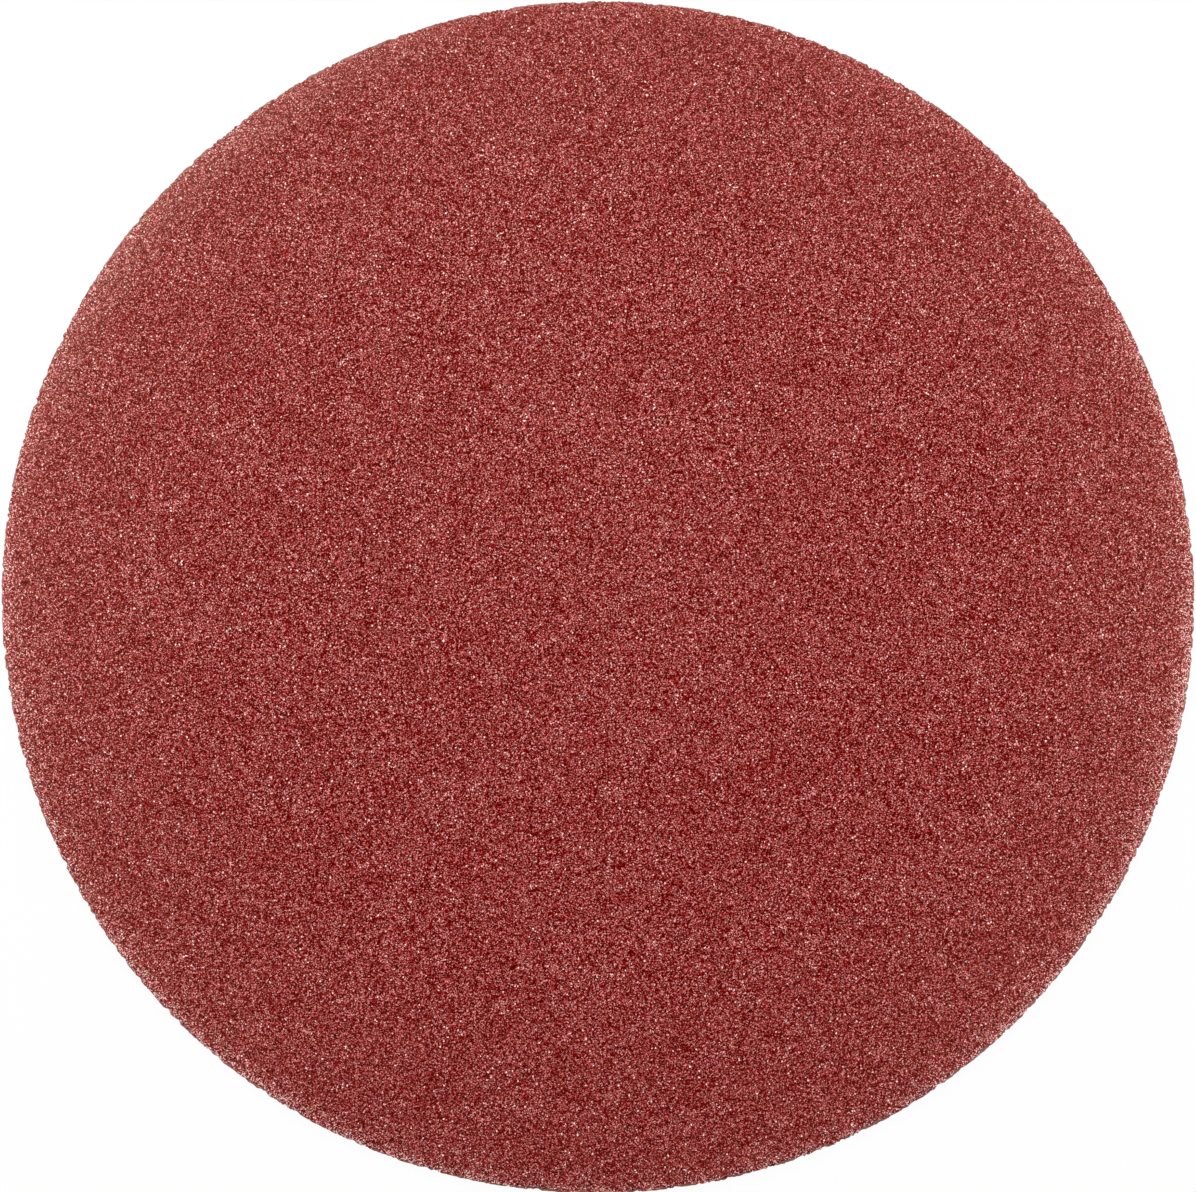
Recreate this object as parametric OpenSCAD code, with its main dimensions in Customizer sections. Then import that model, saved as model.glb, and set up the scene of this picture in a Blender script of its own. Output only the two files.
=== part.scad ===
// Sanding disc without holes: one flat round of coated abrasive, die-cut from a wide roll.
// The disc lies grain side up. Its origin is the centre of its back, and +Z leaves the grain.
// Its section is turned about Z: a flat back, an upright cut edge, a grain coat that has broken
// back from the cut, and a narrow band inside the rim that the die has rolled down.

/* [Disc] */
// Diameter at the cut edge of the backing
disc_d = 125; // [75:0.5:230]

/* [Layers] */
// Thickness of the backing with its pile, pressed flat as it is on a sander's pad
backing_t = 0.85; // [0.7:0.05:2]
// Height of the grain coat, up to the tips of its grains
coat_t = 0.35; // [0.15:0.01:0.6]

/* [Rim] */
// Width of the band that the die rolls down, measured in from the broken edge of the coat
roll_w = 2.5; // [1:0.1:5]
// Depth by which the rim drops across this band
roll_drop = 0.18; // [0.04:0.01:0.3]
// How far the coat has broken back from the cut edge of the backing
break_w = 0.12; // [0.02:0.01:0.3]
// Radius that lost grains leave on the upper edge of the coat
coat_edge_r = 0.1; // [0.02:0.01:0.12]
// Radius that the blade leaves on the lower edge of the backing
back_edge_r = 0.15; // [0.02:0.01:0.3]

/* [Hidden] */

grain_colour = "#94443F";

// Flats round the disc, and steps in each curved stretch of its section
$fn = 180;
roll_steps = 10;
edge_steps = 5;

disc_r = disc_d / 2;
disc_t = backing_t + coat_t;

// Upper edge of the backing and of the coat, where the die has pressed both down
backing_edge = [disc_r, backing_t - roll_drop];
coat_edge = [disc_r - break_w, disc_t - roll_drop];

// The rolled band is an arc that leaves the flat face level and ends at the coat's edge
roll_r = (pow(roll_w, 2) + pow(roll_drop, 2)) / (2 * roll_drop);
roll_centre = [coat_edge.x - roll_w, disc_t - roll_r];

// The edge's own round takes over from the arc at twice its radius from the coat's edge
roll_angle = asin((roll_w - 2 * coat_edge_r) / roll_r);
rolled_band = [for (i = [roll_steps : -1 : 0])
    let (angle = roll_angle * i / roll_steps)
    roll_centre + roll_r * [sin(angle), cos(angle)]];

// Points of a round of radius r in the corner at p, between the straight lines to a and to b
function rounded(a, p, b, r) =
    let (
        to_a = (a - p) / norm(a - p),
        to_b = (b - p) / norm(b - p),
        inward = (to_a + to_b) / norm(to_a + to_b),
        half = acos(to_a * inward),
        centre = p + inward * r / sin(half),
        side = sign(to_a.x * to_b.y - to_a.y * to_b.x),
        middle = atan2(-inward.y, -inward.x)
    )
    [for (i = [-edge_steps : 2 : edge_steps])
        let (angle = middle - side * (90 - half) * i / edge_steps)
        centre + r * [cos(angle), sin(angle)]];

// Half of the disc's section, from the centre of the back round to the centre of the face
section_outline = concat(
    [[0, 0]],
    rounded([0, 0], [disc_r, 0], backing_edge, back_edge_r),
    [backing_edge],
    rounded(backing_edge, coat_edge, rolled_band[0], coat_edge_r),
    rolled_band,
    [[0, disc_t]]
);

// The whole disc: backing, bond and grain are one sheet, and the die cuts them as one
module sanding_disc() {
    color(grain_colour)
        rotate_extrude()
            polygon(section_outline);
}

sanding_disc();
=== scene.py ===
from math import sqrt, tau

import bpy
import numpy as np
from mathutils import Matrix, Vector
from mathutils.geometry import delaunay_2d_cdt


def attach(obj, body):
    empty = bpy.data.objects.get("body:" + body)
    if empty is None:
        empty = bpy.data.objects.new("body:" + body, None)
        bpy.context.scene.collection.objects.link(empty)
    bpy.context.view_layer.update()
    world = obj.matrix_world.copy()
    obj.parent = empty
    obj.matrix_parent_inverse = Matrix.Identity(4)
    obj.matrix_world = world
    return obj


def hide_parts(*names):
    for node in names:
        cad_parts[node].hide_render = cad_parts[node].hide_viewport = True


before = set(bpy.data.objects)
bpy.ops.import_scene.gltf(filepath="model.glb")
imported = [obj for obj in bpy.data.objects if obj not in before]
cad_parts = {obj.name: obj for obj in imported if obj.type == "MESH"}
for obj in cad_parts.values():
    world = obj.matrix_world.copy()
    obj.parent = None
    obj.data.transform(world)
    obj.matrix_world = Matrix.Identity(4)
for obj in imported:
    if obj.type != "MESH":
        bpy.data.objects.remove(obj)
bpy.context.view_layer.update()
MM = 0.001

# Backing: heavy paper with a short brushed loop pile bonded under it, which grips a sander's
# pad. The die cuts it with the coat already on, so a thin line of bare paper runs round outside
# the coat, and the blade leaves the edge fuzzy and rounds its lower corner.
rng = np.random.default_rng(7)

# The section of the solid that the frame holds: its cut edge, and the face above that edge
solid = np.array([v.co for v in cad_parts["sanding_disc"].data.vertices])
solid_r = np.hypot(solid[:, 0], solid[:, 1])
solid_z = solid[:, 2]
same_place = 0.001 * MM
disc_r = solid_r.max()
disc_t = solid_z.max()
edge_from = 0.99 * disc_r
backing_top = solid_z[solid_r > disc_r - same_place].max()
by_height = np.argsort(solid_z)
on_edge = (solid_z[by_height] < backing_top + same_place) & (solid_r[by_height] > edge_from)
edge = by_height[on_edge]
by_radius = np.argsort(solid_r)
face = by_radius[solid_z[by_radius] > backing_top + same_place]
coat_r = solid_r[face].max()

# Thickness of the coat, down to where it meets the paper inside the disc
coat_depth = 0.35 * MM


def face_height(radius):
    """Height of the solid's face at a radius."""
    return np.interp(radius, solid_r[face], solid_z[face])


def edge_radius(height):
    """Radius of the solid's cut edge at a height."""
    return np.interp(height, solid_z[edge], solid_r[edge])


# A bent die cuts a little out of round. The cut stands in from a true circle by slow lobes: so
# many round the disc, each furthest out at one turn and this strong. They never quite reach
# all_out together, so the cut stays inside the solid.
bent = 0.045 * MM
lobes = ((2, 0.87, 1.0), (3, -0.54, 1.0), (4, -0.33, 1.0), (6, -0.12, 0.7))
all_out = 2.35


def cut_inset(turn):
    """How far inside a true circle the die has cut, at a turn round the disc."""
    out = sum(strong * np.cos(number * (turn - middle)) for number, middle, strong in lobes)
    return bent * (all_out - out)


def scattered(pitch, radius):
    """Points about one pitch apart, each moved at random, all over a round that is as far inside
    the die's cut as this radius is inside a true circle's."""
    wander = 0.3
    rows = np.arange(-radius, radius, pitch * sqrt(3) / 2)
    columns = np.arange(-radius, radius, pitch)
    x, y = np.meshgrid(columns, rows)
    x = x + np.arange(len(rows))[:, None] % 2 * pitch / 2
    places = np.stack([x.ravel(), y.ravel()], 1) + rng.uniform(-wander, wander, (x.size, 2)) * pitch
    turn = np.arctan2(places[:, 1], places[:, 0])
    return places[np.hypot(places[:, 0], places[:, 1]) < radius - cut_inset(turn)]


def bites(count, share, depth):
    """Depths of nicks at this share of the points round an edge, each about three points wide."""
    shallowest = 0.5
    shoulder = 0.6
    nick = depth * rng.uniform(shallowest, 1, count) * (rng.uniform(0, 1, count) < share)
    return np.maximum(nick, shoulder * np.maximum(np.roll(nick, 1), np.roll(nick, -1)))


def ring(radius, height, count):
    """So many points evenly round the disc, drawn in from a true circle of this radius by what
    the die has cut. The radius and the height are one number each, or one for each point."""
    turn = np.arange(count) * tau / count
    radius = radius - cut_inset(turn)
    return np.stack([radius * np.cos(turn), radius * np.sin(turn), height + 0 * turn], 1)


def sheet(name, inside, rings, middle, shown, up):
    """A closed sheet: a face of points inside its first ring, rings that run on from there round
    the edge and in again over the other side, and a last point in the middle of that. The face
    looks up or down. The shown bands between the rings keep a ring each on the map that the
    finish is baked on, round the face, and the hidden ones share a corner of it."""
    count = len(rings[0])
    points = np.concatenate([*rings, inside, [[0, 0, middle]]])
    on_face = np.concatenate([np.arange(count), np.arange(len(rings) * count, len(points) - 1)])
    outline = [list(range(count))]
    inner_triangles = 1
    keep_apart = same_place * 0.01
    plan = [Vector(place) for place in points[on_face, :2]]
    found = delaunay_2d_cdt(plan, [], outline, inner_triangles, keep_apart)[2]
    faces = [on_face[np.array(found)]]
    here = np.arange(count)
    there = (here + 1) % count
    for k in range(len(rings) - 1):
        first, last = k * count, (k + 1) * count
        faces.append(np.stack([first + here, last + here, last + there], 1))
        faces.append(np.stack([first + here, last + there, first + there], 1))
    faces.append(np.stack([last + here, np.full(count, len(points) - 1), last + there], 1))
    in_view = sum(len(part) for part in faces[:1 + 2 * shown])
    faces = np.concatenate(faces)
    if not up:
        faces = faces[:, ::-1]

    mesh = bpy.data.meshes.new(name)
    mesh.from_pydata(points.tolist(), [], faces.tolist())

    # Shares of the map: the face, the shown bands round it, and a corner for what is hidden
    face_share = 0.47
    bands_share = 0.0225
    corner = 0.08
    corner_share = 0.07
    plan_r = np.hypot(points[:, 0], points[:, 1])
    spread = points[:, :2] * face_share / plan_r[:count].max()
    for k in range(1, shown + 1):
        row = slice(k * count, (k + 1) * count)
        spread[row] = points[row, :2] / plan_r[row, None] * (face_share + k * bands_share / shown)
    on_map = 0.5 + spread[faces]
    on_map[in_view:] = corner + points[faces[in_view:], :2] * corner_share / disc_r
    bake_map = mesh.uv_layers.new(name="OFBake")
    bake_map.uv.foreach_set("vector", on_map.ravel().astype(np.float32))
    piece = bpy.data.objects.new(name, mesh)
    bpy.context.scene.collection.objects.link(piece)
    return piece


# The pile stands in the rows and courses of its knitted ground, and brushing has roughened it
pile_pitch = 0.45 * MM
pile_depth = 0.08 * MM
pile_from_edge = 0.4 * MM
wale = 1.3 * MM
wale_share = 0.3
course = 0.95 * MM
course_share = 0.2
knit_share = 0.55
back = scattered(pile_pitch, edge_radius(0) - pile_from_edge)
wales = wale_share * np.cos(tau * back[:, 0] / wale)
courses = course_share * np.cos(tau * back[:, 1] / course)
brushed = rng.uniform(0, 1, len(back))
back_height = pile_depth * (knit_share * (0.5 + wales + courses) + (1 - knit_share) * brushed)

# The cut edge, from its lowest fibres to the top of the paper, and then in under the coat
cut_points = 1600
fray = 0.1 * MM
least_fray = 0.2
most_loose = 0.5
bitten_share = 0.16
deepest_bite = 0.24 * MM
lowest_inset = 0.06 * MM
lowest_lift = 0.03 * MM
edge_rings = (0.1, 0.3, 0.55, 0.8, 1.0)
under_coat = (0.6 * MM, 1.2 * MM, 2.7 * MM)
worn = bites(cut_points, bitten_share, deepest_bite) + rng.uniform(least_fray, 1, cut_points) * fray
lift = rng.uniform(0, lowest_lift, cut_points)
rings = [ring(edge_radius(0) - worn - lowest_inset, lift, cut_points)]
for share in edge_rings:
    height = share * backing_top
    loose = rng.uniform(0, most_loose, cut_points) * fray
    rings.append(ring(edge_radius(height) - worn - loose, height, cut_points))
shown = len(rings)
for inset in under_coat:
    radius = coat_r - inset
    rings.append(ring(radius, face_height(radius) - coat_depth, cut_points))
backing = sheet(
    "backing", np.column_stack([back, back_height]), rings, disc_t - coat_depth, shown, up=False
)
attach(backing, "root")
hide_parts("sanding_disc")


class Signal:
    """A socket that gives a value. Arithmetic on it adds the Math nodes that work it out."""

    def __init__(self, tree, socket):
        self.tree = tree
        self.socket = socket

    def node(self, kind, settings=None, sockets=None, output=0):
        """One more node: its settings first, then the values or links of its sockets."""
        made = self.tree.nodes.new(kind)
        for setting, value in (settings or {}).items():
            if setting == "stops":
                stops = made.color_ramp.elements
                for place, colour in value[1:-1]:
                    stops.new(place).color = colour
                for stop, (place, colour) in ((stops[0], value[0]), (stops[-1], value[-1])):
                    stop.position = place
                    stop.color = colour
            else:
                setattr(made, setting, value)
        for name, value in (sockets or {}).items():
            if isinstance(value, Signal):
                self.tree.links.new(value.socket, made.inputs[name])
            else:
                made.inputs[name].default_value = value
        return Signal(self.tree, made.outputs[output])

    def math(self, operation, first, second):
        """One operation on two values."""
        return self.node("ShaderNodeMath", {"operation": operation}, {0: first, 1: second})

    def __add__(self, other):
        return self.math("ADD", self, other)

    def __radd__(self, other):
        return self.math("ADD", other, self)

    def __sub__(self, other):
        return self.math("SUBTRACT", self, other)

    def __rsub__(self, other):
        return self.math("SUBTRACT", other, self)

    def __mul__(self, other):
        return self.math("MULTIPLY", self, other)

    def __rmul__(self, other):
        return self.math("MULTIPLY", other, self)

    def larger(self, other):
        """The larger of two values, so that a mask holds where either of two does."""
        return self.math("MAXIMUM", self, other)

    def between(self, low, high):
        """0 where this value is low or under, 1 where it is high or over."""
        return self.node(
            "ShaderNodeMapRange", {"clamp": True}, {"Value": self, "From Min": low, "From Max": high}
        )

    def blend(self, low, high):
        """The colour low where this value is 0 and high where it is 1."""
        return self.node("ShaderNodeMix", {"data_type": "RGBA"}, {"Factor": self, 6: low, 7: high}, 2)

    def times(self, vector):
        """This place or colour with each of its three parts multiplied."""
        return self.node("ShaderNodeVectorMath", {"operation": "MULTIPLY"}, {0: self, 1: vector})

    def length(self):
        """How far this place is from the middle of the disc's back."""
        return self.node("ShaderNodeVectorMath", {"operation": "LENGTH"}, {0: self}, "Value")

    def axis(self, name):
        """One coordinate of a place."""
        return self.node("ShaderNodeSeparateXYZ", {}, {"Vector": self}, name)

    def noise(self, size, detail, roughness):
        """Soft noise from 0 to 1 at this place, with its largest lumps about this size."""
        return self.node(
            "ShaderNodeTexNoise", {},
            {"Vector": self, "Scale": 1 / size, "Detail": detail, "Roughness": roughness},
        )

    def cells(self, size, output):
        """An output of random cells of about this size, as for grains or painted glints."""
        return self.node("ShaderNodeTexVoronoi", {}, {"Vector": self, "Scale": 1 / size}, output)

    def channel(self, name):
        """One channel of a colour."""
        return self.node("ShaderNodeSeparateColor", {}, {"Color": self}, name)

    def relief(self, depth, strength):
        """The lie of a surface on which this value stands up to so deep."""
        return self.node(
            "ShaderNodeBump", {}, {"Height": self, "Distance": depth, "Strength": strength}
        )

    def in_view(self):
        """1 for what the camera sees, also in a reflection or through glass, and 0 for light."""
        straight = self.node("ShaderNodeLightPath", output="Is Camera Ray")
        mirrored = self.node("ShaderNodeLightPath", output="Is Glossy Ray")
        through = self.node("ShaderNodeLightPath", output="Is Transmission Ray")
        return straight + mirrored + through

    def feed(self, shader, socket):
        """Joins this value to a socket of a shader or of a tree's output."""
        self.tree.links.new(self.socket, shader.inputs[socket])


def new_material(piece, name):
    """A new material on a piece: its shader, and the place on the piece that its nodes read."""
    material = bpy.data.materials.new(name)
    material.use_nodes = True
    piece.data.materials.append(material)
    start = Signal(material.node_tree, None)
    place = start.node("ShaderNodeTexCoord", output="Object")
    return material.node_tree.nodes["Principled BSDF"], place


pile = (0.60, 0.55, 0.46, 1)
# The darker pile tone, which is also painted shade at the roots of the pile
pile_dark_and_root_shade = (0.36, 0.32, 0.26, 1)
paper = (0.44, 0.32, 0.27, 1)
stained_paper = (0.34, 0.14, 0.12, 1)
paper_from = 0.34 * MM
paper_to = 0.42 * MM
fibre = 0.12 * MM
brushed_way = (1, 0.35, 1)
lint_patch = 2.5 * MM
stain_patch = 0.5 * MM
lint_strength = 0.5
root_shade_strength = 0.3
pile_tones = (0.25, 0.75)
stain_rise = 0.9
stain_tones = (0.7, 1.3)
pile_relief = 0.05 * MM

shader, place = new_material(backing, "loop_backing")
height = place.axis("Z")
fibres = place.times(brushed_way).noise(fibre, detail=2.0, roughness=0.6)
lint = place.noise(lint_patch, detail=4.0, roughness=0.6)
# The pile is painted darker toward its roots, as painted shade between the fibres
root = height.between(0, pile_depth)
pile_shade = (fibres + lint_strength * (lint - 0.5) + root_shade_strength * (0.5 - root)).between(*pile_tones)
up_the_paper = height.between(paper_to, backing_top)
stained = place.noise(stain_patch, detail=3.0, roughness=0.6) + stain_rise * up_the_paper
cut_paper = stained.between(*stain_tones).blend(paper, stained_paper)
colour = height.between(paper_from, paper_to).blend(pile_shade.blend(pile_dark_and_root_shade, pile), cut_paper)
colour.feed(shader, "Base Color")
fibres.relief(pile_relief, strength=0.6).feed(shader, "Normal")
shader.inputs["Roughness"].default_value = 0.9
shader.inputs["Sheen Weight"].default_value = 0.2

# Grain coat: crushed aluminium oxide, sprinkled on wet resin and locked in by a second coat of
# red-brown resin that cures hard. It is the face that cuts: a crust of tips and gaps, dipping
# where the die has rolled the rim. Grains have broken out along the cut and left it ragged.
grain_pitch = 0.42 * MM
grain_depth = 0.16 * MM
face_from_edge = 0.5 * MM
tip_share = 0.6
tip_spread = (2.2, 1.6)
gap_spread = (1.2, 3.0)
face_places = scattered(grain_pitch, coat_r - face_from_edge)
face_r = np.hypot(face_places[:, 0], face_places[:, 1])


def grains(count):
    """Heights of random tips and gaps, from 0 to 1."""
    tips = rng.beta(*tip_spread, count)
    gaps = rng.beta(*gap_spread, count)
    return np.where(rng.uniform(0, 1, count) < tip_share, tips, gaps)


face_tips = grains(len(face_places))
face_z = face_height(face_r) - grain_depth * (1 - face_tips)

# The ragged rim, from the outermost tips down to the paper, and then in over it
rim_points = 2180
crumble = 0.18 * MM
notched_share = 0.1
deepest_notch = 0.3 * MM
tips_lean = 0.04 * MM
side_in = -0.03 * MM
side_out = 0.05 * MM
side_rings = (0.5, 0.1)
overlap = 0.02 * MM
over_backing = (1.2 * MM, 2.7 * MM)
lost = crumble * rng.uniform(0, 1, rim_points) + bites(rim_points, notched_share, deepest_notch)
rim_tips = grains(rim_points)
rim_z = face_height(coat_r) - grain_depth * (1 - rim_tips)
rings = [ring(coat_r - lost - rng.uniform(0, tips_lean, rim_points), rim_z, rim_points)]
tips = [rim_tips]
for share in side_rings:
    out = rng.uniform(side_in, side_out, rim_points)
    height = backing_top + share * (rim_z - backing_top)
    rings.append(ring(coat_r - lost + out, height, rim_points))
    tips.append(grains(rim_points))
rings.append(ring(coat_r - lost, backing_top - overlap, rim_points))
shown = len(rings) - 1
for inset in over_backing:
    radius = coat_r - inset
    rings.append(ring(radius, face_height(radius) - coat_depth - overlap, rim_points))
tips.append(np.zeros(rim_points * (1 + len(over_backing))))
coat = sheet(
    "grain_coat", np.column_stack([face_places, face_z]), rings,
    disc_t - coat_depth - overlap, shown, up=True,
)
tip = coat.data.attributes.new("tip", "FLOAT", "POINT")
tip.data.foreach_set("value", np.concatenate([*tips, face_tips, [0]]).astype(np.float32))
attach(coat, "root")
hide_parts("sanding_disc")

# Each grain has its own tone in the cured resin, from the bottom of a gap to a bare tip. The two
# darkest tones are painted shade in the gaps, and the palest is partly a painted highlight on bare
# tips. Grains lie in clumps, and those are paler; higher tips are painted paler and low gaps
# darker, as painted light and shade.
grain_size = 0.097 * MM
deep_gap_shade = (0.042, 0.0, 0.0, 1)
gap_shade = (0.12, 0.0, 0.0, 1)
bonded = (0.235, 0.001, 0.001, 1)
flank = (0.42, 0.075, 0.068, 1)
worn_tip = (0.77, 0.28, 0.265, 1)
bare_tip_and_highlight = (1.0, 0.67, 0.64, 1)
tones = [(0.02, deep_gap_shade), (0.32, gap_shade), (0.54, bonded), (0.75, flank), (0.89, worn_tip), (0.98, bare_tip_and_highlight)]
middle_tone = 0.395
painted_tip_light = 0.04
clump_size = 2.6 * MM
clump_way = (0.6, 1, 1)
clump_paler = 0.12

# Uneven cure turns the resin redder or browner, and wear and a painted sheen fade it: these
# multiply its colour
cure_patch = 1.2 * MM
redder = (1.13, 0.70, 0.95, 1)
browner = (0.88, 1.24, 0.97, 1)
unfaded = (1, 1, 1, 1)
fade_and_sheen_tint = (1.05, 1.6, 1.5, 1)

# A thin dust lies on the worn parts, and the same colour paints sheen; here and there a painted
# glint stands for a chip of bare grain catching the light
dust_and_sheen_colour = (0.8, 0.69, 0.52, 1)
glint_size = 0.14 * MM
painted_glint = (1.0, 0.78, 0.73, 1)
glinting = (0.99, 0.995)

shader, place = new_material(coat, "bonded_grain")
shade = place.cells(grain_size, "Color").channel("Red")
from_middle = place.cells(grain_size, "Distance")
tip_height = place.node("ShaderNodeAttribute", {"attribute_name": "tip"}, {}, "Fac")
clump = place.times(clump_way).noise(clump_size, detail=4.0, roughness=0.65)

# Wear and painted light go by how far out a grain lies and by its place on the disc, from -1 at
# the left or near edge to 1 at the right or far one. Hands have held the outer part, and the die
# has crushed the rim; that band is also painted lighter at its left and right sides and toward
# its far edge, as painted light from the lamps. The near rim is painted lighter where the lamps
# leave it in shade, a band at the far left is greyed as painted sheen, and the whole far side has
# a painted sheen, a little more to the left.
worn_and_lit_width = 22 * MM
crushed_band = 5 * MM
near_rim_light_band = 1.2 * MM
sheen_band_from = 5 * MM
sheen_band_full = 3 * MM
near_half = (-0.7, 0.1)
far_left = (1.1, 1.42)
leftward = 0.5
far_sheen_slope = (-0.3, 1.1)
radius = place.length()
across = place.axis("X") * (1 / disc_r)
up = place.axis("Y") * (1 / disc_r)
at_sides = across * across
worn_and_lit_band = radius.between(disc_r - worn_and_lit_width, disc_r)
crushing = radius.between(disc_r - crushed_band, disc_r)
crushed = crushing * crushing
# Painted light: the near rim is paler where the lamps leave it in shade
painted_near_rim_light = radius.between(disc_r - near_rim_light_band, disc_r) * (1 - up.between(*near_half))
# Painted sheen: a band near the rim at the far left is paled and greyed, where the far lamp's sheen falls
far_left_sheen_band = radius.between(disc_r - sheen_band_from, disc_r - sheen_band_full)
far_left_sheen = far_left_sheen_band * (up - across).between(*far_left)
# Painted sheen: the far side is greyed, a little more to the left, as the far lamp's sheen
far_sheen = (up - leftward * across).between(*far_sheen_slope)


def around(even, sides=0.0, far=0.0):
    """A strength that is even round the disc, with so much more at its left and right sides, and
    so much more at its far edge as there is less at its near one."""
    strength = even
    if sides:
        strength = strength + sides * at_sides
    if far:
        strength = strength + far * up
    return strength


# Grains stand out less from each other where they are worn, and more so toward the far edge of
# the outer band and the rim, where a painted sheen lies over them
full_contrast = 0.93
contrast = full_contrast - worn_and_lit_band * around(even=0.06, far=0.04) - crushed * around(even=0.08, far=0.08)

# They are paler there, at the rim most of all. The rim's extra paleness at its left and right
# sides, more on the right, is painted light from the side lamps. The near rim and a band at the
# far left are painted paler too, as painted light and painted sheen.
bruised_evenly = 0.09
side_light_paler = 0.085
more_light_on_right = 0.03
near_rim_light_paler = 0.14
far_left_sheen_paler = 0.01
rim_paleness_and_side_light = crushed * crushing * (bruised_evenly + at_sides * (side_light_paler + more_light_on_right * across))
# Painted light: the outer band is lighter at its left and right sides and toward its far edge
painted_side_and_far_light = worn_and_lit_band * around(even=-0.004, sides=0.038, far=0.016)
paleness = middle_tone + contrast * (shade - 0.5) + painted_tip_light * tip_height + clump_paler * clump
paleness = paleness + rim_paleness_and_side_light + painted_side_and_far_light + near_rim_light_paler * painted_near_rim_light + far_left_sheen_paler * far_left_sheen

# Their resin has faded too; at the left and right sides, over the far side and in a band at the
# far left this fading is painted sheen
crushed_faded = 0.1
far_left_sheen_faded = 0.2
far_sheen_faded = 0.06
faded_and_sheen = worn_and_lit_band * around(even=0.045, sides=0.05) + crushed_faded * crushed
faded_and_sheen = faded_and_sheen + far_left_sheen_faded * far_left_sheen + far_sheen_faded * far_sheen

# A little dust has stayed on them; at the sides, toward the far edge, over the far side and in a
# band at the far left this greying is painted sheen
far_left_sheen_dusty = 0.022
far_sheen_dusty = 0.005
dust_and_sheen = worn_and_lit_band * around(even=0.01, sides=0.004, far=0.003) + crushed * around(even=0.012, far=0.005)
dust_and_sheen = dust_and_sheen + far_left_sheen_dusty * far_left_sheen + far_sheen_dusty * far_sheen

crust = paleness.node("ShaderNodeValToRGB", {"stops": tones}, {"Fac": paleness})
cured = place.noise(cure_patch, detail=3.0, roughness=0.6).blend(redder, browner)
resin = crust.times(cured).times(faded_and_sheen.blend(unfaded, fade_and_sheen_tint))
sparkle = place.cells(glint_size, "Color").channel("Green").between(*glinting)
sparkle.blend(dust_and_sheen.blend(resin, dust_and_sheen_colour), painted_glint).feed(shader, "Base Color")

# The palest grains are the smoothest, and the resin on them has a thin gloss
roughest = 0.7
smoother = 0.3
glossy_tones = (0.5, 1.0)
gloss = 0.5
grain_relief = 0.04 * MM
(roughest - smoother * shade).feed(shader, "Roughness")
(gloss * shade.between(*glossy_tones)).feed(shader, "Coat Weight")
(shade - from_middle).relief(grain_relief, strength=0.5).feed(shader, "Normal")
shader.inputs["Specular IOR Level"].default_value = 0.0
shader.inputs["Coat Roughness"].default_value = 0.4

# Floor: a matt white studio table that the disc lies on, plain white straight down, with a
# soft shadow under the rim. It is clear from below, and to light close under the disc, so that
# the back is lit and can be seen from underneath.
table_half = 3
under_fibres = 0.05 * MM
table_white = (0.85, 0.85, 0.85, 1)
plain_white = (1, 1, 1, 1)
plain_share = 0.95
close_under = (0.25 * MM, 0.3 * MM)
corners = ((-1, -1), (1, -1), (1, 1), (-1, 1))
floor_mesh = bpy.data.meshes.new("floor")
floor_mesh.from_pydata([(x * table_half, y * table_half, 0) for x, y in corners], [], [(0, 1, 2, 3)])
floor = bpy.data.objects.new("floor", floor_mesh)
floor.location.z = -under_fibres
bpy.context.scene.collection.objects.link(floor)

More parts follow.
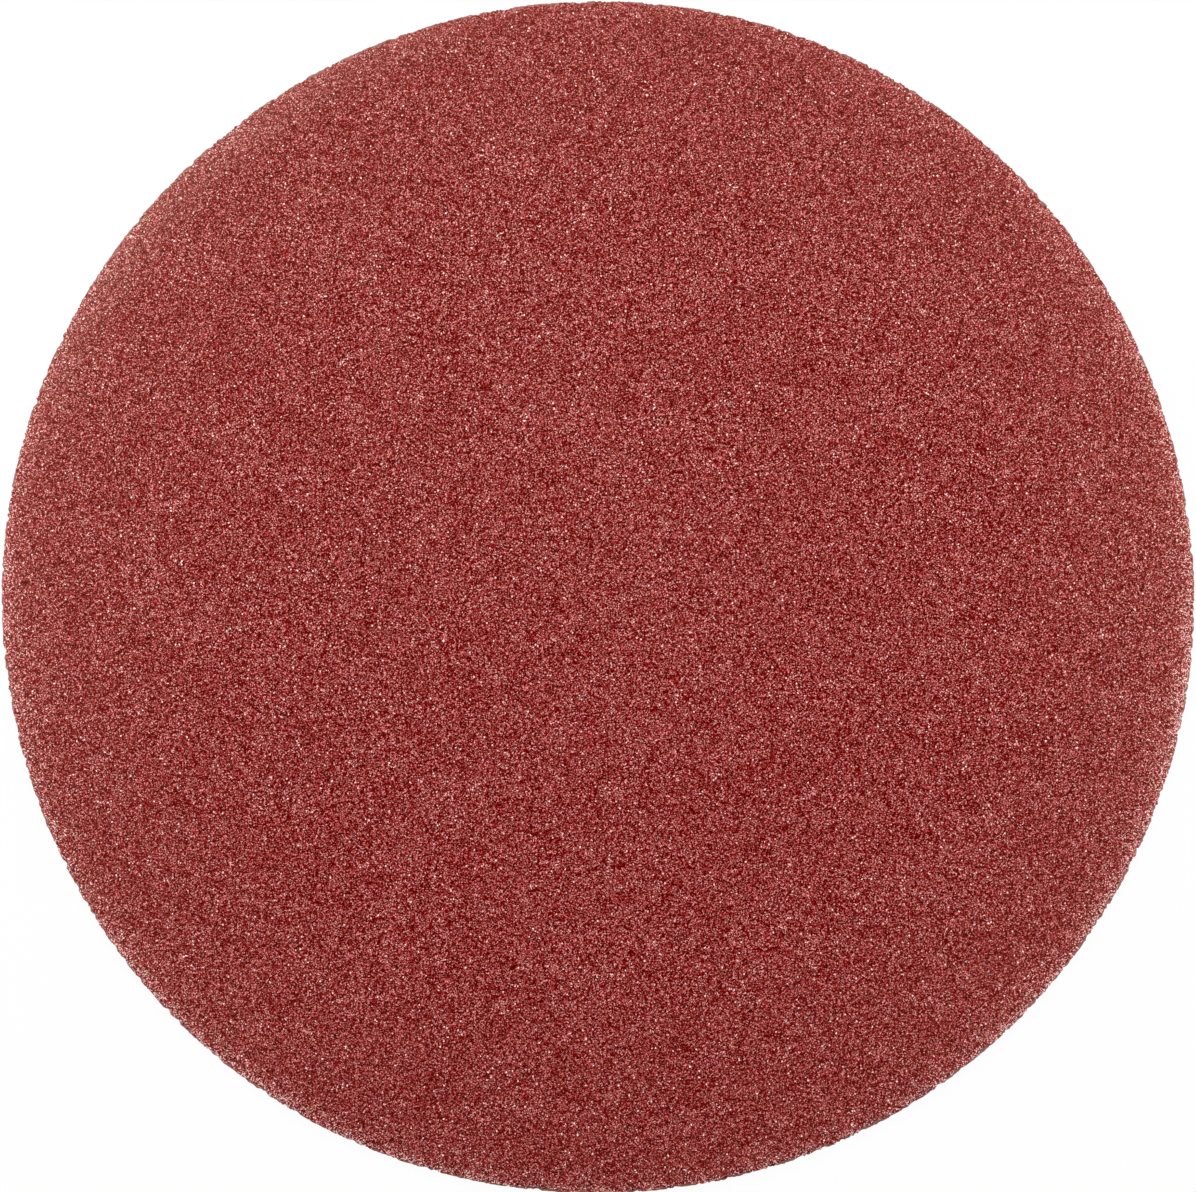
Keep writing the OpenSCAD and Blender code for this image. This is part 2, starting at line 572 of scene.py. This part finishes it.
shader, place = new_material(floor, "white_table")
shader.inputs["Base Color"].default_value = table_white
shader.inputs["Roughness"].default_value = 0.9
matt = Signal(place.tree, shader.outputs[0])
plain = place.node("ShaderNodeEmission", {}, {"Color": plain_white, "Strength": 1.0})
table = place.node("ShaderNodeMixShader", {}, {"Fac": plain_share * place.in_view(), 1: matt, 2: plain})
from_below = place.node("ShaderNodeNewGeometry", output="Backfacing")
ray_length = place.node("ShaderNodeLightPath", output="Ray Length")
open_to_light = from_below.larger(1 - ray_length.between(*close_under))
clear = place.node("ShaderNodeBsdfTransparent")
open_table = place.node("ShaderNodeMixShader", {}, {"Fac": open_to_light, 1: table, 2: clear})
open_table.feed(place.tree.nodes["Material Output"], "Surface")

# Studio: a large pale room, one soft box beyond the far edge of the disc, one low on each side
# and one under the table. The room is plain white where the camera sees it.
room_light = 0.35
world = bpy.data.worlds.new("studio")
world.use_nodes = True
bpy.context.scene.world = world
start = Signal(world.node_tree, None)
room = start.node("ShaderNodeBackground", {}, {"Color": plain_white, "Strength": room_light})
backdrop = start.node("ShaderNodeBackground", {}, {"Color": plain_white, "Strength": 1.0})
studio = start.node("ShaderNodeMixShader", {}, {"Fac": start.in_view(), 1: room, 2: backdrop})
studio.feed(world.node_tree.nodes["World Output"], "Surface")


def soft_box(name, place, size, power):
    """A lamp of this size in metres and power in watts, turned to the middle of the disc."""
    light = bpy.data.lights.new(name, "AREA")
    light.shape = "RECTANGLE"
    light.size, light.size_y = size
    light.energy = power
    box = bpy.data.objects.new(name, light)
    box.location = place
    box.rotation_mode = "QUATERNION"
    box.rotation_quaternion = Vector(place).to_track_quat("Z", "Y")
    box.visible_camera = False
    bpy.context.scene.collection.objects.link(box)


soft_box("top_softbox", place=(-0.04, 0.24, 0.23), size=(0.25, 0.15), power=0.62)
soft_box("left_softbox", place=(-0.26, 0.02, 0.12), size=(0.12, 0.2), power=0.42)
soft_box("right_softbox", place=(0.26, 0.02, 0.12), size=(0.12, 0.2), power=0.42)
soft_box("under_softbox", place=(-0.05, 0.05, -0.35), size=(0.3, 0.3), power=0.9)

# Camera: straight above the disc, as the photograph was taken. The photograph's width, the
# disc's mean radius in it and how far the disc lies under its middle are in its own pixels.
frame_px = 1196
disc_px = 595.42
above_middle_px = 1.64
disc_seen_r = 62.185 * MM
pixel = disc_seen_r / disc_px
lens = bpy.data.cameras.new("camera")
lens.sensor_width = 36
lens.lens = 150
camera_height = disc_t + lens.lens / lens.sensor_width * frame_px * pixel
camera = bpy.data.objects.new("camera", lens)
camera.location = (0, above_middle_px * pixel, camera_height)
bpy.context.scene.collection.objects.link(camera)
bpy.context.scene.camera = camera
bpy.context.scene.view_settings.view_transform = "Standard"
